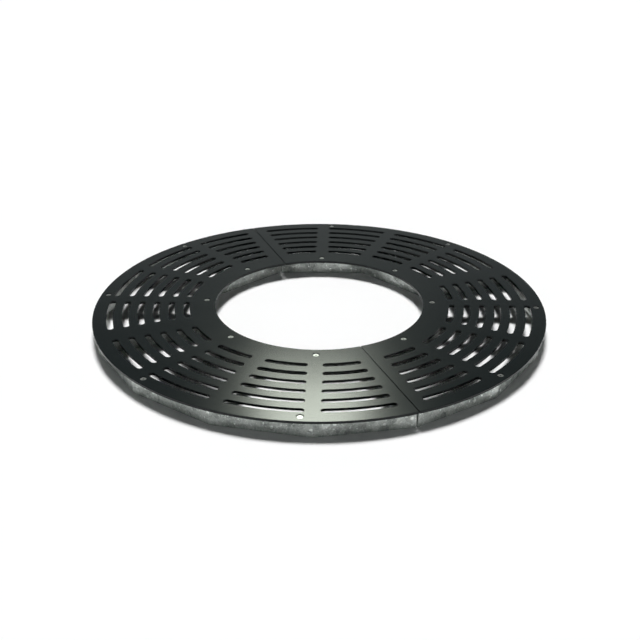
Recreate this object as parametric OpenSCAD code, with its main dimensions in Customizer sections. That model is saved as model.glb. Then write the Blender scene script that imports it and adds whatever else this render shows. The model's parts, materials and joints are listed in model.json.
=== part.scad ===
// Round tree grate: two slotted half plates screwed to a tube frame that is bolted at its seam.
// The origin is the centre of the tree opening, on the surface that the frame stands on.
// +Z is up, the seam between the halves lies along Y, and the right half is on the +X side.

/* [Grate plates] */
// Outer diameter of the grate
plate_od = 1500; // [1400:10:1800]
// Diameter of the tree opening
plate_id = 700; // [560:10:740]
// Thickness of the plates
plate_t = 8; // [7.5:0.5:15]
// Gap between the two half plates
plate_gap = 3; // [1:0.5:6]
// Chamfer on the round edges of the plates
edge_break = 0.6; // [0.2:0.1:1.5]

/* [Slots] */
// Width of each arc slot
slot_w = 20; // [12:1:24]
// Radial pitch of the slot rings
slot_pitch = 50; // [40:1:80]
// Solid rim outside the outermost slots
rim_land = 45; // [40:1:70]
// Solid rim inside the innermost slots, at the least
hub_land = 85; // [75:1:140]
// Width of the narrow spokes
spoke_w = 43; // [30:1:60]
// Width of the spokes above the radial bars
wide_spoke_w = 75; // [66:1:100]

/* [Frame] */
// Height of the rectangular tube that the frame is made of
frame_h = 50; // [40:5:120]
// Width of the tube
tube_w = 20; // [20:1:30]
// Wall of the tube
tube_wall = 2; // [1.5:0.5:2.5]
// Inner radius of the tube's corners
tube_corner = 1; // [0.5:0.25:2]
// Gap between the two half frames
frame_gap = 5; // [2:0.5:8]
// Thickness of the caps that close the bands at the seam
cap_t = 3; // [2:0.5:5]
// From the grate's rim in to the outer band, at the middle of a flat
rim_overhang = 23; // [16:1:28]
// From the tree opening out to the inner band, at the middle of a flat
hub_overhang = 21; // [10:1:45]

/* [Screws and inserts] */
// Diameter of the countersunk screws
screw_d = 8; // [6:0.5:8.5]
// Diameter of the screw heads
head_d = 17.5; // [16:0.5:19]
// How far the screw heads sit below the plate's face
head_sink = 2.25; // [0.75:0.25:3]
// Length of the countersunk screws, head included
screw_len = 20; // [16:1:30]
// Width across the flats of the screw's socket
socket_w = 5; // [4:0.5:5.5]
// Depth of the screw's socket
socket_depth = 3.5; // [2:0.5:4]
// Diameter of the threaded inserts
insert_d = 11; // [10.5:0.5:12]
// Length of the threaded inserts
insert_len = 16; // [14:1:25]
// Diameter of the folded collar that holds an insert under the tube's wall
collar_d = 12.5; // [12.25:0.25:13]
// Height of the folded collar
collar_h = 4; // [2:0.5:6]
// From a corner of the outer band to the screw's axis, along the flat
screw_shift = 35; // [28:1:45]

/* [Seam bolts] */
// Diameter of the seam bolts
bolt_d = 10; // [8:1:12]
// Width across the flats of the bolt heads and nuts
bolt_hex_w = 16; // [16:1:18]
// Height of the bolt heads
bolt_head_h = 6.4; // [5:0.1:8]
// Height of the nuts
nut_h = 8.4; // [6:0.1:11]
// Outer diameter of the washers and spacers
washer_od = 20; // [18:1:24]
// Thickness of the washers
washer_t = 2; // [1.5:0.1:3]
// Thread that stands out past the nuts
bolt_tail = 3; // [1:0.5:6]
// From a band's corner to the nearest seam bolt
bolt_inset = 75; // [40:1:110]

/* [Hidden] */
$fn = 96;

// Clearance of a bolt or screw in a plain hole, of a thread, and of an insert, on the diameter
hole_clear = 1;
thread_clear = 0.2;
insert_clear = 0.1;
// Extra width of the slots' round ends, and the root gap that a weld leaves between two tubes
end_relief = 0.04;
root_gap = 0.04;
// Overshoot of a cut past the face that it opens
eps = 0.01;
// Room for a cut past a part that it clears altogether
over = 5;

// Colours of the powder coating, the galvanised frame, the screws and the bolts
coat = [0.19, 0.21, 0.22];
galvanised = [0.62, 0.65, 0.66];
stainless = [0.80, 0.81, 0.80];
zinc = [0.72, 0.74, 0.74];

// The plates rest on the frame
plate_r = plate_od / 2;
open_r = plate_id / 2;
top_z = frame_h + plate_t;

// Slot rings, from the outside in
slot_r_max = plate_r - rim_land - slot_w / 2;
slot_r_min = open_r + hub_land + slot_w / 2;
ring_count = floor((slot_r_max - slot_r_min) / slot_pitch + 0.001) + 1;
slot_rings = [for (i = [0 : ring_count - 1]) slot_r_max - i * slot_pitch];

// One spoke every 22.5 degrees; each fourth one is wide and lies over a radial tube
spoke_count = 16;
spoke_step = 360 / spoke_count;
wide_every = 4;

// Polygons of the bands: corners on every spoke outside, and on every second spoke inside.
// The middle of a tube lies half its width from the visible face.
outer_sides = spoke_count;
inner_sides = spoke_count / 2;
outer_face = plate_r - rim_overhang;
inner_face = open_r + hub_overhang;
outer_mid = outer_face - tube_w / 2;
inner_mid = inner_face + tube_w / 2;

// Corners of the bands' facing sides, between which the radial tubes run
outer_corner = (outer_face - tube_w) / cos(180 / outer_sides);
inner_corner = (inner_face + tube_w) / cos(180 / inner_sides);

// Screws of the right half: the angle of each flat's normal and the place along the flat
outer_shift = outer_face * tan(180 / outer_sides) - screw_shift;
diagonals = [-45, 45];
outer_spots = [for (d = diagonals) for (s = [-1, 1])
    [d + s * spoke_step / 2, s * outer_shift]];
inner_spots = [for (d = diagonals) for (s = [-1, 1]) [d + s * spoke_step, 0]];

// The countersinks open at 90 degrees, so that the heads seat at their sunk depth
sink_d = head_d + 2 * head_sink;
screw_hole_d = screw_d + hole_clear;
insert_hole_d = insert_d + insert_clear;

// Seam bolts lie along X at half the frame's height
bolt_z = frame_h / 2;
bolt_ys = [for (s = [-1, 1])
    for (y = [inner_corner + bolt_inset, outer_corner - bolt_inset]) s * y];
bolt_hole_d = bolt_d + hole_clear;
tube_back_x = frame_gap / 2 + tube_w;
washer_back_x = tube_back_x + washer_t;

// Half the width of spoke number k
function spoke_half(k) = (k % wide_every == 0 ? wide_spoke_w : spoke_w) / 2;

// Angle from a spoke's middle to the centre of a slot's round end on radius r
function end_angle(k, r) = asin((spoke_half(k) + slot_w / 2) / r);

// Corners of a regular polygon with flats at a distance from the centre and a corner on +X
function ngon(sides, flat) = [for (i = [0 : sides - 1])
    flat / cos(180 / sides) * [cos(i * 360 / sides), sin(i * 360 / sides)]];

// A piece turned round to the left half
module left_half() {
    rotate([0, 0, 180])
        children();
}

// Puts its child at each spot of a half, on a flat at dist from the centre
module at_spots(spots, dist) {
    for (s = spots)
        rotate([0, 0, s[0]])
            translate([dist, s[1], 0])
                children();
}

// Everything between two distances from the seam on the right, up to a height
module right_slab(x0, x1, z0, z1) {
    translate([x0, -plate_r - over, z0])
        cube([x1 - x0, 2 * (plate_r + over), z1 - z0]);
}

// Whole ring of the plates with broken edges
module plate_ring() {
    c = edge_break;
    rotate_extrude($fn = 360)
        polygon([
            [open_r, c], [open_r + c, 0], [plate_r - c, 0], [plate_r, c],
            [plate_r, plate_t - c], [plate_r - c, plate_t],
            [open_r + c, plate_t], [open_r, plate_t - c]
        ]);
}

// One arc slot between spokes k and k + 1, cut right through the plate. Its round ends are
// a hair wider than its sides, which they then cross instead of only touching.
module slot(k, r) {
    a0 = k * spoke_step + end_angle(k, r);
    a1 = (k + 1) * spoke_step - end_angle(k + 1, r);
    rotate([0, 0, a0])
        rotate_extrude(angle = a1 - a0, $fn = 360)
            translate([r - slot_w / 2, -over])
                square([slot_w, plate_t + 2 * over]);
    for (a = [a0, a1])
        rotate([0, 0, a])
            translate([r, 0, -over])
                cylinder(d = slot_w + end_relief, h = plate_t + 2 * over, $fn = 48);
}

// Countersunk hole, opening at the plate's upper face
module screw_hole() {
    translate([0, 0, -over])
        cylinder(d = screw_hole_d, h = plate_t + 2 * over);
    translate([0, 0, plate_t - sink_d / 2])
        cylinder(d1 = 0, d2 = sink_d + 2 * eps, h = sink_d / 2 + eps);
}

module grate_half() {
    translate([0, 0, frame_h])
        difference() {
            intersection() {
                plate_ring();
                right_slab(plate_gap / 2, plate_r + over, -over, plate_t + over);
            }
            for (k = [-wide_every : wide_every - 1])
                for (r = slot_rings)
                    slot(k + spoke_count, r);
            at_spots(outer_spots, outer_mid)
                screw_hole();
            at_spots(inner_spots, inner_mid)
                screw_hole();
        }
}

// Rectangle with round corners, drawn in from the tube's outline by inset
module tube_outline(inset) {
    w = tube_w - 2 * inset;
    h = frame_h - 2 * inset;
    r = tube_corner + tube_wall - inset;
    translate([0, frame_h / 2]) {
        square([w - 2 * r, h], center = true);
        square([w, h - 2 * r], center = true);
        for (x = [-1, 1])
            for (y = [-1, 1])
                translate([x * (w / 2 - r), y * (h / 2 - r)])
                    circle(r, $fn = 32);
    }
}

module tube_profile() {
    difference() {
        tube_outline(0);
        tube_outline(tube_wall);
    }
}

// The right half of a polygon band, mitred at its corners, from the outline in the child
module mitred_band(sides, mid) {
    half = 180 / sides;
    reach = (mid + tube_w) / cos(half);
    for (i = [0 : sides / 2 - 1])
        rotate([0, 0, -90 + (2 * i + 1) * half])
            intersection() {
                translate([mid, reach, 0])
                    rotate([90, 0, 0])
                        linear_extrude(2 * reach)
                            children();
                translate([0, 0, -over])
                    linear_extrude(frame_h + 2 * over)
                        polygon([
                            [root_gap / 2 / sin(half), 0],
                            reach * [cos(half), -sin(half)] + [0, root_gap / 2 / cos(half)],
                            reach * [cos(half), sin(half)] - [0, root_gap / 2 / cos(half)]
                        ]);
            }
}

// Half a band with the holes for its inserts, short of the seam by the thickness of its caps
module band_half(sides, mid, spots) {
    difference() {
        intersection() {
            mitred_band(sides, mid)
                tube_profile();
            right_slab(frame_gap / 2 + cap_t, plate_r, -over, frame_h + over);
        }
        at_spots(spots, mid)
            translate([0, 0, frame_h - tube_wall - over])
                cylinder(d = insert_hole_d, h = tube_wall + 2 * over);
    }
}

// The two caps on the ends of one half band
module band_caps(sides, mid) {
    intersection() {
        mitred_band(sides, mid)
            tube_outline(0);
        right_slab(frame_gap / 2, frame_gap / 2 + cap_t, -over, frame_h + over);
    }
}

module end_caps() {
    band_caps(outer_sides, outer_mid);
    band_caps(inner_sides, inner_mid);
}

// Room between the two bands
module bay() {
    translate([0, 0, -over])
        linear_extrude(frame_h + 2 * over)
            difference() {
                polygon(ngon(outer_sides, outer_face - tube_w));
                polygon(ngon(inner_sides, inner_face + tube_w));
            }
}

// Radial tube along +X from band to band
module radial_tube(y) {
    intersection() {
        translate([0, y, 0])
            rotate([90, 0, 90])
                linear_extrude(plate_r)
                    tube_profile();
        bay();
    }
}

module middle_tube() {
    radial_tube(0);
}

// Tube along the back end of the right half frame, drilled for the seam bolts
module seam_tube() {
    difference() {
        rotate([0, 0, 90])
            radial_tube(-(frame_gap + tube_w) / 2);
        for (y = bolt_ys)
            translate([frame_gap / 2 - over, y, bolt_z])
                rotate([0, 90, 0])
                    cylinder(d = bolt_hole_d, h = tube_w + 2 * over);
    }
}

// Threaded insert, flush with the tube's upper face, with its collar folded below the wall
module insert() {
    difference() {
        union() {
            translate([0, 0, frame_h - insert_len])
                cylinder(d = insert_d, h = insert_len);
            translate([0, 0, frame_h - tube_wall - collar_h])
                cylinder(d = collar_d, h = collar_h);
        }
        translate([0, 0, frame_h - insert_len - over])
            cylinder(d = screw_d + thread_clear, h = insert_len + 2 * over);
    }
}

// Countersunk screw with a hex socket, seated in the plate
module screw() {
    head_h = (head_d - screw_d) / 2;
    translate([0, 0, top_z - head_sink])
        difference() {
            union() {
                translate([0, 0, -head_h])
                    cylinder(d1 = screw_d, d2 = head_d, h = head_h);
                translate([0, 0, -screw_len])
                    cylinder(d = screw_d, h = screw_len - head_h);
            }
            translate([0, 0, -socket_depth])
                cylinder(d = socket_w / cos(30), h = socket_depth + over, $fn = 6);
        }
}

module washer(t) {
    difference() {
        cylinder(d = washer_od, h = t);
        translate([0, 0, -over])
            cylinder(d = bolt_hole_d, h = t + 2 * over);
    }
}

// Puts its child at each seam bolt, with the bolt's axis along +X from x
module at_bolts(x) {
    for (y = bolt_ys)
        translate([x, y, bolt_z])
            rotate([0, 90, 0])
                children();
}

module hex_prism(h) {
    rotate([0, 0, 30])
        cylinder(d = bolt_hex_w / cos(30), h = h, $fn = 6);
}

module grate_plate_right() { color(coat) grate_half(); }
module grate_plate_left() { color(coat) left_half() grate_half(); }

module outer_band() { band_half(outer_sides, outer_mid, outer_spots); }
module outer_band_right() { color(galvanised) outer_band(); }
module outer_band_left() { color(galvanised) left_half() outer_band(); }

module inner_band() { band_half(inner_sides, inner_mid, inner_spots); }
module inner_band_right() { color(galvanised) inner_band(); }
module inner_band_left() { color(galvanised) left_half() inner_band(); }

module middle_tube_right() { color(galvanised) middle_tube(); }
module middle_tube_left() { color(galvanised) left_half() middle_tube(); }

module seam_tube_right_back() { color(galvanised) seam_tube(); }
module seam_tube_right_front() { color(galvanised) mirror([0, 1, 0]) seam_tube(); }
module seam_tube_left_front() { color(galvanised) left_half() seam_tube(); }
module seam_tube_left_back() { color(galvanised) mirror([1, 0, 0]) seam_tube(); }

module end_caps_right() { color(galvanised) end_caps(); }
module end_caps_left() { color(galvanised) left_half() end_caps(); }

module outer_inserts() { at_spots(outer_spots, outer_mid) insert(); }
module outer_inserts_right() { color(zinc) outer_inserts(); }
module outer_inserts_left() { color(zinc) left_half() outer_inserts(); }

module inner_inserts() { at_spots(inner_spots, inner_mid) insert(); }
module inner_inserts_right() { color(zinc) inner_inserts(); }
module inner_inserts_left() { color(zinc) left_half() inner_inserts(); }

module outer_screws() { at_spots(outer_spots, outer_mid) screw(); }
module outer_screws_right() { color(stainless) outer_screws(); }
module outer_screws_left() { color(stainless) left_half() outer_screws(); }

module inner_screws() { at_spots(inner_spots, inner_mid) screw(); }
module inner_screws_right() { color(stainless) inner_screws(); }
module inner_screws_left() { color(stainless) left_half() inner_screws(); }

// Hex bolts, heads on the right and tails on the left
module seam_bolts() {
    shank = 2 * washer_back_x + nut_h + bolt_tail;
    color(zinc) {
        at_bolts(washer_back_x)
            hex_prism(bolt_head_h);
        at_bolts(washer_back_x - shank)
            cylinder(d = bolt_d, h = shank + eps);
    }
}

module seam_nuts() {
    color(zinc)
        at_bolts(-washer_back_x - nut_h)
            difference() {
                hex_prism(nut_h);
                translate([0, 0, -over])
                    cylinder(d = bolt_d + thread_clear, h = nut_h + 2 * over);
            }
}

module seam_washers() {
    color(zinc)
        for (x = [tube_back_x, -washer_back_x])
            at_bolts(x)
                washer(washer_t);
}

// Spacers that keep the two half frames apart
module seam_spacers() {
    color(zinc)
        at_bolts(-frame_gap / 2)
            washer(frame_gap);
}

grate_plate_right();
grate_plate_left();
outer_band_right();
outer_band_left();
inner_band_right();
inner_band_left();
middle_tube_right();
middle_tube_left();
seam_tube_right_front();
seam_tube_right_back();
seam_tube_left_front();
seam_tube_left_back();
end_caps_right();
end_caps_left();
outer_inserts_right();
outer_inserts_left();
inner_inserts_right();
inner_inserts_left();
outer_screws_right();
outer_screws_left();
inner_screws_right();
inner_screws_left();
seam_bolts();
seam_nuts();
seam_washers();
seam_spacers();
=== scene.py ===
# Looks of the round tree grate: coatings, welds, zinc runs, floor, light and camera round the CAD model.
import json
import math
import random
from collections import namedtuple

import bmesh
import bpy
from mathutils import Matrix, Vector


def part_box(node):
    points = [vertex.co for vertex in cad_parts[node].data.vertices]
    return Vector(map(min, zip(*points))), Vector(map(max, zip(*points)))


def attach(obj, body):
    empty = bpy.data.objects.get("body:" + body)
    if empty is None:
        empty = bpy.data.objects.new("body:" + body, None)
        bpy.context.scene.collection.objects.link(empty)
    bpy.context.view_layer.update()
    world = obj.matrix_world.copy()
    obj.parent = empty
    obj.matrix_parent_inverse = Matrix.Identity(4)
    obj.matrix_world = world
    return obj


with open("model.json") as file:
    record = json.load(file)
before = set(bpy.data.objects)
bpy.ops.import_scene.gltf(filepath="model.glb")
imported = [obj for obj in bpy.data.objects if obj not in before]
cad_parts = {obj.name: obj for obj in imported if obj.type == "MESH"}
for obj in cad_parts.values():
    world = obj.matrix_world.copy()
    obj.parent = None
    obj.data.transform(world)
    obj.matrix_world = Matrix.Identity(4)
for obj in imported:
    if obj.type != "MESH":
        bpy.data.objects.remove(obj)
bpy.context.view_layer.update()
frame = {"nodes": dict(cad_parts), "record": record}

MM = 0.001
BODY = "root"

# The photograph looks at the object from this side: the seam lies this far off its line of sight
VIEW_TURN = math.radians(-21)


def turned(x, y, z):
    """A point given as the photograph sees it, x to the right and y away, in the object's own frame."""
    return Matrix.Rotation(VIEW_TURN, 3, "Z") @ Vector((x, y, z))


def aim(obj, target):
    """Turns a lamp so that it looks at the target."""
    obj.rotation_euler = (target - obj.location).to_track_quat("-Z", "Y").to_euler()


# Sizes read from the model itself. A band's corner is at its farthest point on X, and its flats lie
# nearer to the centre by the cosine of half a flat's angle.
OUTER_SIDES = 16
INNER_SIDES = 8
top_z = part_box("grate_plate_right")[1].z
head_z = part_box("outer_screws_right")[1].z
outer_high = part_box("outer_band_right")[1]
inner_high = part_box("inner_band_right")[1]
middle_low, middle_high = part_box("middle_tube_right")
frame_h = outer_high.z
tube_w = middle_high.y - middle_low.y
outer_face = outer_high.x * math.cos(math.pi / OUTER_SIDES)
outer_back = outer_face - tube_w
inner_back = inner_high.x * math.cos(math.pi / INNER_SIDES)
inner_face = inner_back - tube_w
# The open side of the right half's seam tubes, and the joint of its end caps
seam_side_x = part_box("seam_tube_right_back")[1].x
cap_joint_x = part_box("end_caps_right")[1].x


# Shader helpers

def new_material(name):
    """A material with a Principled shader, as (material, tree, shader)."""
    mat = bpy.data.materials.new(name)
    mat.use_nodes = True
    tree = mat.node_tree
    return mat, tree, tree.nodes["Principled BSDF"]


def plug(tree, value, socket):
    """Links an input to another socket, or sets it to a plain value."""
    if isinstance(value, bpy.types.NodeSocket):
        tree.links.new(value, socket)
    else:
        socket.default_value = value


def set_inputs(tree, node, **inputs):
    """Sets or links the named inputs of a node."""
    for key, value in inputs.items():
        plug(tree, value, node.inputs[key.replace("_", " ")])


def add(tree, kind, settings=None, **inputs):
    """A node of the given kind with its settings made and its inputs set or linked."""
    made = tree.nodes.new(kind)
    for key, value in (settings or {}).items():
        setattr(made, key, value)
    set_inputs(tree, made, **inputs)
    return made


def place(tree):
    """Coordinates in metres, the same for every piece, because each one sits at the origin."""
    return add(tree, "ShaderNodeTexCoord").outputs["Object"]


def height_of(tree, where):
    """The height of a place, in metres."""
    return add(tree, "ShaderNodeSeparateXYZ", Vector=where).outputs["Z"]


# Values between which most of a noise lies, and the whole range that a factor may have
NOISE_SPAN = (0.3, 0.7)
FULL = (0.0, 1.0)


def noise(tree, where, scale, detail=2.0, rough=0.5):
    """Noise with the given number of patches in a metre."""
    made = add(tree, "ShaderNodeTexNoise", Vector=where, Scale=scale, Detail=detail, Roughness=rough)
    return made.outputs["Fac"]


def remap(tree, value, span, result):
    """The value with its span stretched over the result's, and held at the ends."""
    return add(
        tree, "ShaderNodeMapRange", {"clamp": True}, Value=value,
        From_Min=span[0], From_Max=span[1], To_Min=result[0], To_Max=result[1],
    ).outputs["Result"]


def combine(tree, operation, first, second):
    """A Math node on two values, each a number or a socket."""
    made = add(tree, "ShaderNodeMath", {"operation": operation})
    for value, socket in zip((first, second), made.inputs):
        plug(tree, value, socket)
    return made.outputs["Value"]


def blend_colour(tree, factor, dark, light):
    """From the dark colour to the light one as the factor goes from 0 to 1."""
    mix = add(tree, "ShaderNodeMix", {"data_type": "RGBA"}, Factor=factor)
    mix.inputs[6].default_value = (*dark, 1)
    mix.inputs[7].default_value = (*light, 1)
    return mix.outputs[2]


def bump(tree, height, strength, distance):
    """A normal that follows the given height."""
    made = add(tree, "ShaderNodeBump", Height=height, Strength=strength, Distance=distance)
    return made.outputs["Normal"]


# Powder coating of the plates. Here and below, a scale is the number of patches in a metre.
COAT_DARK = (0.0022, 0.0052, 0.0056)
COAT_LIGHT = (0.0038, 0.0072, 0.0078)
COAT_ROUGHNESS = (0.230, 0.248)
COAT_SPECULAR = 0.25
COAT_CLOUD_SCALE = 9
COAT_SKIN_SCALE = 900
COAT_SKIN_STRENGTH = 0.05
COAT_SKIN_DEPTH = 0.05 * MM


def powder_coat():
    """Satin black powder coating with the fine skin of its cured powder."""
    mat, tree, shader = new_material("powder_coat")
    where = place(tree)
    cloud = noise(tree, where, COAT_CLOUD_SCALE, detail=3)
    skin = noise(tree, where, COAT_SKIN_SCALE, detail=2)
    set_inputs(
        tree, shader,
        Base_Color=blend_colour(tree, cloud, COAT_DARK, COAT_LIGHT),
        Roughness=remap(tree, cloud, NOISE_SPAN, COAT_ROUGHNESS),
        Normal=bump(tree, skin, COAT_SKIN_STRENGTH, COAT_SKIN_DEPTH),
        Specular_IOR_Level=COAT_SPECULAR,
    )
    return mat


# Hot-dip zinc. Its crystals, clouds and knots share a place that wanders, so that none is regular.
ZINC_DARK = (0.166, 0.184, 0.170)
ZINC_LIGHT = (0.845, 0.885, 0.85)
WANDER_SCALE = 30
WANDER = 12 * MM
CRYSTAL_SCALE = 42
CLOUD_SCALE = 24
CLOUD_ROUGH = 0.55
CLOUD_SPAN = (0.40, 0.62)
GRAIN_SCALE = 190
GRAIN_ROUGH = 0.6
FLECK_SPAN = (0.38, 0.62)
KNOT_SCALE = 30
# Distances from a knot's middle between which it fades out, as shares of the room between knots
KNOT_EDGE = (0.13, 0.19)
SPECK_SCALE = 230
SPECK_SPAN = (0.62, 0.70)
# Heights between which the specks grow stronger, as shares of the frame's, and their strengths there;
# the specks are random zinc, and their growth towards the top is a painted highlight along the top of
# the bands
SPECK_HIGHLIGHT_HEIGHTS = (0.5, 0.92)
SPECK_HIGHLIGHT_STRENGTH = (0.45, 1.0)
# Share of each pattern in the tone, and of the knots and the grain in the bumps beside the clouds
CLOUD_TONE = 0.24
CRYSTAL_TONE = 0.30
FLECK_TONE = 0.12
KNOT_TONE = 0.50
SPECK_TONE = 0.70
KNOT_BUMP = 0.8
GRAIN_BUMP = 0.25
# Brighter zinc is cleaner: more of a metal, and smoother
ZINC_METAL_TONES = (0.2, 1.0)
ZINC_METALLIC = (0.45, 0.94)
ZINC_ROUGHNESS = (0.50, 0.24)
ZINC_BUMP_STRENGTH = 0.6
ZINC_BUMP_DEPTH = 1 * MM


def galvanised(name, brighter=0.0):
    """Hot-dip zinc: crystals, cloudy patches, fine flecks, bright knots and specks, whose growth higher
    up is a painted highlight.
    """
    mat, tree, shader = new_material(name)
    where = place(tree)
    wander = add(tree, "ShaderNodeTexNoise", Vector=where, Scale=WANDER_SCALE, Detail=1.0)
    bent = add(tree, "ShaderNodeVectorMath", {"operation": "MULTIPLY_ADD"})
    for value, socket in zip((wander.outputs["Color"], (WANDER, WANDER, WANDER), where), bent.inputs):
        plug(tree, value, socket)
    bent_place = bent.outputs["Vector"]

    crystals = add(tree, "ShaderNodeTexVoronoi", Vector=bent_place, Scale=CRYSTAL_SCALE)
    shade = add(tree, "ShaderNodeSeparateColor", Color=crystals.outputs["Color"]).outputs["Red"]
    cloud = noise(tree, bent_place, CLOUD_SCALE, detail=3, rough=CLOUD_ROUGH)
    cloud = remap(tree, cloud, CLOUD_SPAN, FULL)
    grain = noise(tree, where, GRAIN_SCALE, detail=3, rough=GRAIN_ROUGH)
    fleck = remap(tree, grain, FLECK_SPAN, FULL)
    knots = add(tree, "ShaderNodeTexVoronoi", Vector=bent_place, Scale=KNOT_SCALE)
    knot = remap(tree, knots.outputs["Distance"], KNOT_EDGE, (1.0, 0.0))
    # Painted highlight: the specks grow stronger towards the top of the bands, lightening them there
    speck_highlight_heights = [share * frame_h for share in SPECK_HIGHLIGHT_HEIGHTS]
    upper = remap(tree, height_of(tree, where), speck_highlight_heights, SPECK_HIGHLIGHT_STRENGTH)
    specks = remap(tree, noise(tree, where, SPECK_SCALE, detail=1), SPECK_SPAN, FULL)
    specks = combine(tree, "MULTIPLY", specks, upper)

    tone = combine(tree, "MULTIPLY", cloud, CLOUD_TONE)
    for part, weight in (
        (shade, CRYSTAL_TONE), (fleck, FLECK_TONE), (knot, KNOT_TONE), (specks, SPECK_TONE),
    ):
        tone = combine(tree, "ADD", tone, combine(tree, "MULTIPLY", part, weight))
    tone = combine(tree, "MINIMUM", combine(tree, "ADD", tone, brighter), 1.0)
    height = combine(tree, "ADD", combine(tree, "MULTIPLY", knot, KNOT_BUMP), cloud)
    height = combine(tree, "ADD", height, combine(tree, "MULTIPLY", grain, GRAIN_BUMP))
    set_inputs(
        tree, shader,
        Base_Color=blend_colour(tree, tone, ZINC_DARK, ZINC_LIGHT),
        Metallic=remap(tree, tone, ZINC_METAL_TONES, ZINC_METALLIC),
        Roughness=remap(tree, tone, FULL, ZINC_ROUGHNESS),
        Normal=bump(tree, height, ZINC_BUMP_STRENGTH, ZINC_BUMP_DEPTH),
    )
    return mat


# Stainless steel of the screws
STEEL = (0.245, 0.252, 0.245)
STEEL_TONE = (0.80, 1.0)
STEEL_METALLIC = 0.9
STEEL_ROUGHNESS = (0.30, 0.36)
# Painted shade in the sockets: its dark colour, and the depths below a head's face between which the
# bare steel takes its place
SOCKET_PAINTED_SHADE = (0.015, 0.015, 0.015)
SOCKET_SHADE_DEPTHS = (1.0 * MM, 0.2 * MM)
TURNING_SCALE = 1400
TURNING_STRENGTH = 0.1
TURNING_DEPTH = 0.05 * MM


def stainless():
    """Grey steel of the screws with the fine marks of their turning, and painted shade in their sockets.
    """
    mat, tree, shader = new_material("turned_stainless")
    where = place(tree)
    fine = noise(tree, where, TURNING_SCALE, detail=2)
    # Painted shade: below the head's face the colour falls to a dark grey and the metal goes, as shade
    # in each socket
    bare_steel = remap(tree, height_of(tree, where), [head_z - depth for depth in SOCKET_SHADE_DEPTHS], FULL)
    tone = combine(tree, "MULTIPLY", bare_steel, remap(tree, fine, NOISE_SPAN, STEEL_TONE))
    set_inputs(
        tree, shader,
        Base_Color=blend_colour(tree, tone, SOCKET_PAINTED_SHADE, STEEL),
        Metallic=remap(tree, bare_steel, FULL, (0.0, STEEL_METALLIC)),
        Roughness=remap(tree, fine, NOISE_SPAN, STEEL_ROUGHNESS),
        Normal=bump(tree, fine, TURNING_STRENGTH, TURNING_DEPTH),
    )
    return mat


# Zinc plating of the seam joint and the inserts
PLATING_DARK = (0.48, 0.51, 0.53)
PLATING_LIGHT = (0.62, 0.64, 0.65)
PLATING_METALLIC = 0.9
PLATING_ROUGHNESS = (0.32, 0.46)
PLATING_SCALE = 500
PLATING_STRENGTH = 0.2
PLATING_DEPTH = 0.1 * MM


def zinc_plate():
    """Thin bright zinc of bolts, nuts, washers and inserts."""
    mat, tree, shader = new_material("zinc_plated")
    fine = noise(tree, place(tree), PLATING_SCALE, detail=3)
    set_inputs(
        tree, shader,
        Base_Color=blend_colour(tree, fine, PLATING_DARK, PLATING_LIGHT),
        Metallic=PLATING_METALLIC,
        Roughness=remap(tree, fine, NOISE_SPAN, PLATING_ROUGHNESS),
        Normal=bump(tree, fine, PLATING_STRENGTH, PLATING_DEPTH),
    )
    return mat


FINISHES = {
    "plate_black": powder_coat(),
    "frame_galvanised": galvanised("hot_dip_zinc"),
    "screw_stainless": stainless(),
    "bolt_zinc": zinc_plate(),
}
WELD_ZINC = galvanised("hot_dip_zinc_on_welds", brighter=0.08)
DROP_ZINC = galvanised("hot_dip_zinc_drops", brighter=0.7)

slot_of = {s["node"]: s["material_slot"] for s in frame["record"]["subparts"]}
for name, obj in frame["nodes"].items():
    for slot in obj.material_slots:
        slot.material = FINISHES[slot_of[name]]


# Pieces of the galvanised frame that are mesh only: weld beads and zinc runs

def make_piece(name, build, turn, rng, material):
    """A smooth mesh object that build fills in, riding on the grate as part of its galvanised frame."""
    mesh = bpy.data.meshes.new(name)
    bm = bmesh.new()
    build(bm, turn, rng)
    bmesh.ops.recalc_face_normals(bm, faces=bm.faces)
    for face in bm.faces:
        face.smooth = True
    bm.to_mesh(mesh)
    bm.free()
    mesh.materials.append(material)
    piece = bpy.data.objects.new(name, mesh)
    bpy.context.scene.collection.objects.link(piece)
    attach(piece, BODY)


def flat_dir(angle):
    """The level direction at an angle from X."""
    return Vector((math.cos(angle), math.sin(angle), 0))


# Depth to which a bead or run is sunk into the metal that it lies on
SUNK = 0.3 * MM
# Round edge of the tube, where the beads on its sides end
TUBE_ROUND = 3 * MM
# Points across a bead, distance between its rings, length of one ripple and of its round ends
BEAD_SIDES = 8
BEAD_STEP = 0.75 * MM
RIPPLE = 3 * MM
BEAD_END = 2.5 * MM
# Size of a bead's blunt ends, the share of its ripples that its width has too, and its unevenness
BEAD_END_SIZE = 0.15
WIDTH_RIPPLE = 0.06
UNEVEN = 0.03

# Reach of a bead on each of its two faces, its rise, whether it fills the corner between them or lies
# over it, and the depth of its ripples as a share of its rise
Bead = namedtuple("Bead", "wide rise filled ripple")
OUTER_FACE_BEAD = Bead(4 * MM, 0.5 * MM, False, 0.45)
INNER_FACE_BEAD = Bead(4.5 * MM, 0.3 * MM, True, 0.6)
OUTER_BACK_BEAD = Bead(4.5 * MM, 0.9 * MM, True, 0.35)
INNER_BACK_BEAD = Bead(4.5 * MM, 1.2 * MM, False, 0.35)
FILLET_BEAD = Bead(4 * MM, 0.5 * MM, True, 0.6)
CAP_BEAD = Bead(2.6 * MM, 0.5 * MM, False, 0.4)


def bead_ring(a, b, wide, rise, filled):
    """Points across a bead from face a over to face b; a filled one bridges the corner between them."""
    out = (a + b).normalized()
    if not filled:
        out = -out
    ring = []
    for i in range(BEAD_SIDES + 1):
        t = i / BEAD_SIDES
        if filled:
            base = a.lerp(b, t) * wide
        elif t < 0.5:
            base = a * wide * (1 - 2 * t)
        else:
            base = b * wide * (2 * t - 1)
        ring.append(base + out * (rise * math.sin(math.pi * t) - SUNK))
    ring.append(-2 * SUNK * out)
    return ring


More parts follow.
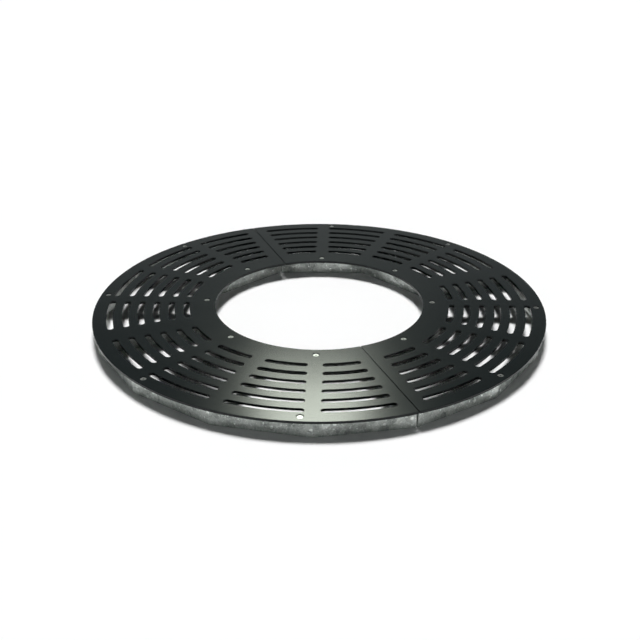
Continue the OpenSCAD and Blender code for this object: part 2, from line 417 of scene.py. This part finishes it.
def add_bead(bm, foot, a, b, bead, rng):
    """One upright weld bead along a corner of the tubes, from near their foot to near their top."""
    low = TUBE_ROUND
    high = frame_h - TUBE_ROUND
    count = round((high - low) / BEAD_STEP)
    rings = []
    for k in range(count + 1):
        z = low + (high - low) * k / count
        end = min(z - low, high - z) / BEAD_END
        taper = math.sin(math.pi / 2 * min(1, BEAD_END_SIZE + (1 - BEAD_END_SIZE) * end))
        dip = bead.ripple * (1 - abs(math.sin(math.pi * z / RIPPLE)))
        wide = bead.wide * taper * (1 - WIDTH_RIPPLE * dip) * rng.uniform(1 - UNEVEN, 1 + UNEVEN)
        rise = bead.rise * taper * (1 - dip)
        centre = foot + Vector((0, 0, z))
        rings.append([bm.verts.new(centre + p) for p in bead_ring(a, b, wide, rise, bead.filled)])
    around = len(rings[0])
    for lower, upper in zip(rings, rings[1:]):
        for i in range(around):
            j = (i + 1) % around
            bm.faces.new((lower[i], lower[j], upper[j], upper[i]))
    bm.faces.new(rings[0][::-1])
    bm.faces.new(rings[-1])


def mitre_angles(sides, skip_middle):
    """Corners of a band between the two ends of its right half, where two tubes meet."""
    step = 2 * math.pi / sides
    corners = [-math.pi / 2 + step * i for i in range(1, sides // 2)]
    if skip_middle:
        corners = [c for c in corners if abs(c) > step / 2]
    return corners


def mitre_welds(bm, turn, rng):
    """Dressed beads on the faces that show, and plain rippled ones on the sides that don't.

    The middle tube covers the middle corner of each band's back, so no bead lies there.
    """
    for sides, face, skip_middle, bead in (
        (OUTER_SIDES, outer_face, False, OUTER_FACE_BEAD),
        (INNER_SIDES, inner_face, False, INNER_FACE_BEAD),
        (OUTER_SIDES, outer_back, True, OUTER_BACK_BEAD),
        (INNER_SIDES, inner_back, True, INNER_BACK_BEAD),
    ):
        half = math.pi / sides
        for corner in mitre_angles(sides, skip_middle):
            angle = corner + turn
            foot = flat_dir(angle) * face / math.cos(half)
            a = flat_dir(angle + half + math.pi / 2)
            b = flat_dir(angle - half - math.pi / 2)
            add_bead(bm, foot, a, b, bead, rng)


def add_fillet(bm, normal_angle, face, line_dir, offset, outward, turn, rng):
    """Fillet where a radial tube's side, a line along line_dir at offset, meets a band's side.

    The band's side faces normal_angle and lies at the distance face from the centre. outward is 1
    where the tube runs on outwards from it, and -1 where it runs inwards.
    """
    normal = flat_dir(normal_angle)
    side = Vector((-line_dir.y, line_dir.x, 0)) * math.copysign(1, offset)
    start = side * abs(offset)
    along = (face - normal.dot(start)) / normal.dot(line_dir)
    foot = start + line_dir * along
    band_way = Vector((-normal.y, normal.x, 0))
    if band_way.dot(side) < 0:
        band_way = -band_way
    tube_way = line_dir * outward
    turner = Matrix.Rotation(turn, 3, "Z")
    add_bead(bm, turner @ foot, turner @ tube_way, turner @ band_way, FILLET_BEAD, rng)


def tube_welds(bm, turn, rng):
    """Fillets on both sides of the middle tube, and on the open side of each seam tube."""
    # The direction of each tube, its angle, and how far to the left of it the welded sides lie
    tubes = (
        (Vector((1, 0, 0)), 0, (-middle_high.y, middle_high.y)),
        (Vector((0, 1, 0)), math.pi / 2, (-seam_side_x,)),
        (Vector((0, -1, 0)), -math.pi / 2, (seam_side_x,)),
    )
    for line_dir, middle, offsets in tubes:
        for offset in offsets:
            way = math.copysign(1, offset)
            for sides, face, outward in ((OUTER_SIDES, outer_back, -1), (INNER_SIDES, inner_back, 1)):
                normal_angle = middle + way * math.pi / sides
                add_fillet(bm, normal_angle, face, line_dir, offset, outward, turn, rng)


# A cap lies flush with its tube. This slight bend between them tells the bead which way is out.
CAP_BEND = 0.001


def cap_welds(bm, turn, rng):
    """Dressed beads along the joint of each end cap, on the faces of the bands that show."""
    turner = Matrix.Rotation(turn, 3, "Z")
    for side in (-1, 1):
        for sides, face, out in ((OUTER_SIDES, outer_face, 1), (INNER_SIDES, inner_face, -1)):
            normal = flat_dir(side * (math.pi / 2 - math.pi / sides))
            foot = Vector((cap_joint_x, (face - normal.x * cap_joint_x) / normal.y, 0))
            along = Vector((-normal.y, normal.x, 0))
            bend = normal * out * -CAP_BEND
            a = turner @ (along + bend).normalized()
            b = turner @ (bend - along).normalized()
            add_bead(bm, turner @ foot, a, b, CAP_BEAD, rng)


# Zinc runs: low drops that hardened on the faces of the bands as the bath drained off
RUN_RINGS = 4
RUN_SIDES = 14
RUN_SPACING = 27 * MM
RUN_MARGIN = 9 * MM
# Where a run may lie in its share of a flat, its highest place and how far below that it may lie, as
# shares of the frame's height
RUN_SCATTER = (0.1, 0.9)
RUN_HIGHEST = 0.84
RUN_FALL = 0.6
# A run's radius in millimetres, its height and its rise as shares of that, and how far it droops
RUN_RADIUS_MM = (1.6, 3.4)
RUN_TALL = (1.0, 1.5)
RUN_RISE = (0.22, 0.32)
RUN_DROOP = 0.35


def add_run(bm, centre, along, out, radius, tall, rise):
    """One low drop on an upright face, taller than it is wide."""
    tip = bm.verts.new(centre + out * rise)
    rings = []
    for k in range(1, RUN_RINGS + 1):
        t = k / RUN_RINGS
        height = rise * math.cos(math.pi / 2 * t) - SUNK * t
        ring = []
        for i in range(RUN_SIDES):
            angle = 2 * math.pi * i / RUN_SIDES
            droop = 1 + RUN_DROOP * max(0, -math.sin(angle))
            point = along * radius * t * math.cos(angle)
            point += Vector((0, 0, radius * tall * t * droop * math.sin(angle)))
            ring.append(bm.verts.new(centre + point + out * height))
        rings.append(ring)
    for i in range(RUN_SIDES):
        j = (i + 1) % RUN_SIDES
        bm.faces.new((tip, rings[0][i], rings[0][j]))
        for inner, outer in zip(rings, rings[1:]):
            bm.faces.new((inner[i], outer[i], outer[j], inner[j]))
    bm.faces.new(rings[-1][::-1])


def zinc_runs(bm, turn, rng):
    """Drops scattered over each flat of the two faces that show, most of them high up."""
    for sides, face, out in ((OUTER_SIDES, outer_face, 1), (INNER_SIDES, inner_face, -1)):
        half = math.pi / sides
        reach = face * math.tan(half) - RUN_MARGIN
        count = round(2 * reach / RUN_SPACING)
        for i in range(sides // 2):
            normal = flat_dir(-math.pi / 2 + (2 * i + 1) * half + turn)
            along = Vector((-normal.y, normal.x, 0))
            for k in range(count):
                s = reach * (2 * (k + rng.uniform(*RUN_SCATTER)) / count - 1)
                z = frame_h * (RUN_HIGHEST - RUN_FALL * rng.random() ** 2)
                radius = rng.uniform(*RUN_RADIUS_MM) * MM
                tall = rng.uniform(*RUN_TALL)
                rise = rng.uniform(*RUN_RISE) * radius
                centre = normal * face + along * s + Vector((0, 0, z))
                add_run(bm, centre, along, normal * out, radius, tall, rise)


# Each half of the frame: its name, how far it is turned, and the seed of its random values
HALVES = (("right", 0.0, 26), ("left", math.pi, 25))


def dress_frame():
    """Welds and runs of both half frames."""
    for half_name, turn, seed in HALVES:
        rng = random.Random(seed)
        for kind, build, material in (
            ("mitre_welds", mitre_welds, WELD_ZINC),
            ("tube_welds", tube_welds, WELD_ZINC),
            ("cap_welds", cap_welds, WELD_ZINC),
            ("zinc_runs", zinc_runs, DROP_ZINC),
        ):
            make_piece(f"{kind}_{half_name}", build, turn, rng, material)


# Floor, a plain pale surface that the object stands on

FLOOR_REACH = 30.0
FLOOR_COLOUR = (0.985, 0.985, 0.985)
FLOOR_ROUGHNESS = 0.9


def make_floor():
    """A square floor without gloss, at the height of the object's foot."""
    mesh = bpy.data.meshes.new("floor")
    corners = [(x * FLOOR_REACH, y * FLOOR_REACH, 0) for x, y in ((-1, -1), (1, -1), (1, 1), (-1, 1))]
    mesh.from_pydata(corners, [], [(0, 1, 2, 3)])
    floor = bpy.data.objects.new("floor", mesh)
    bpy.context.scene.collection.objects.link(floor)
    mat, tree, shader = new_material("pale_floor")
    set_inputs(
        tree, shader,
        Base_Color=(*FLOOR_COLOUR, 1), Roughness=FLOOR_ROUGHNESS, Specular_IOR_Level=0.0,
    )
    mesh.materials.append(mat)


# Light: one broad lamp overhead and a little behind, a soft box above the back of the grate for the
# sheen, and a dim room that is lighter towards its walls

# How far the overhead lamp leans to the right and away from the camera for each metre that it is up
SUN_SLOPE_X = -0.016
SUN_SLOPE_Y = 0.339
SUN_UP = 4
SUN_SOFTNESS = math.radians(17.5)
SUN_LEVEL = 3.16
BOX_WIDE = 0.60
BOX_TALL = 0.92
BOX_POWER = 35
BOX_COLOUR = (0.93, 1.0, 0.87)
BOX_PLACE = (-0.042, 1.5, 1.80)
# The soft box looks at the plates this far in front of the middle
BOX_AIM = 0.6
ROOM_COLOUR = (0.935, 0.985, 0.975)
ROOM_AT_HORIZON = 0.77
ROOM_OVERHEAD = 0.02
# How much more of the white background shows in reflections and behind the object, and its limit
ROOM_IN_GLOSS = 0.36
ROOM_IN_VIEW = 1.0
ROOM_WHITE = 1.1
# Sine of the height above which the room is dark
ROOM_DARK_FROM = 0.48


def add_lamp(data, location, target):
    """A lamp object at a place, looking at the target."""
    lamp = bpy.data.objects.new(data.name, data)
    bpy.context.scene.collection.objects.link(lamp)
    lamp.location = location
    aim(lamp, target)
    return lamp


def make_sun():
    """The broad lamp that gives the shadow below the grate."""
    data = bpy.data.lights.new("overhead", "SUN")
    data.energy = SUN_LEVEL
    data.angle = SUN_SOFTNESS
    add_lamp(data, turned(SUN_SLOPE_X, SUN_SLOPE_Y, 1) * SUN_UP, Vector((0, 0, 0)))


def make_soft_box():
    """The lamp whose reflection is the sheen on the front of the plates."""
    data = bpy.data.lights.new("soft_box", "AREA")
    data.shape = "RECTANGLE"
    data.size = BOX_WIDE
    data.size_y = BOX_TALL
    data.energy = BOX_POWER
    data.color = BOX_COLOUR
    box = add_lamp(data, turned(*BOX_PLACE), turned(0, -BOX_AIM, top_z))
    box.visible_diffuse = False
    box.visible_camera = False


def make_room():
    """The world: light near the horizon, dark overhead, and white where it is seen directly."""
    world = bpy.data.worlds.new("room")
    world.use_nodes = True
    tree = world.node_tree
    direction = add(tree, "ShaderNodeTexCoord").outputs["Generated"]
    level = remap(
        tree, height_of(tree, direction), (0.0, ROOM_DARK_FROM), (ROOM_AT_HORIZON, ROOM_OVERHEAD)
    )
    rays = add(tree, "ShaderNodeLightPath").outputs
    gain = 1.0
    for ray, more in (
        ("Is Camera Ray", ROOM_IN_VIEW),
        ("Is Glossy Ray", ROOM_IN_GLOSS),
        ("Is Transmission Ray", ROOM_IN_GLOSS),
    ):
        gain = combine(tree, "ADD", combine(tree, "MULTIPLY", rays[ray], more), gain)
    strength = combine(tree, "MINIMUM", combine(tree, "MULTIPLY", level, gain), ROOM_WHITE)
    set_inputs(tree, tree.nodes["Background"], Color=(*ROOM_COLOUR, 1), Strength=strength)
    bpy.context.scene.world = world


# Camera of the photograph: lens and square frame in millimetres, and its place, back from the middle
# of the grate and above its plates, from which it looks down

CAMERA_LENS = 50
CAMERA_FRAME = 36
CAMERA_BACK = 2.726
CAMERA_UP = 1.278
CAMERA_PITCH = math.radians(26.362)
CAMERA_YAW = math.radians(-0.056)


def make_camera():
    """The camera at the photograph's viewing angle."""
    data = bpy.data.cameras.new("camera")
    data.lens = CAMERA_LENS
    data.sensor_width = CAMERA_FRAME
    cam = bpy.data.objects.new("camera", data)
    bpy.context.scene.collection.objects.link(cam)
    cam.location = turned(0, -CAMERA_BACK, top_z + CAMERA_UP)
    cam.rotation_euler = (math.pi / 2 - CAMERA_PITCH, 0, VIEW_TURN + CAMERA_YAW)
    bpy.context.scene.camera = cam


dress_frame()
make_floor()
make_sun()
make_soft_box()
make_room()
make_camera()
bpy.context.scene.view_settings.view_transform = "Standard"
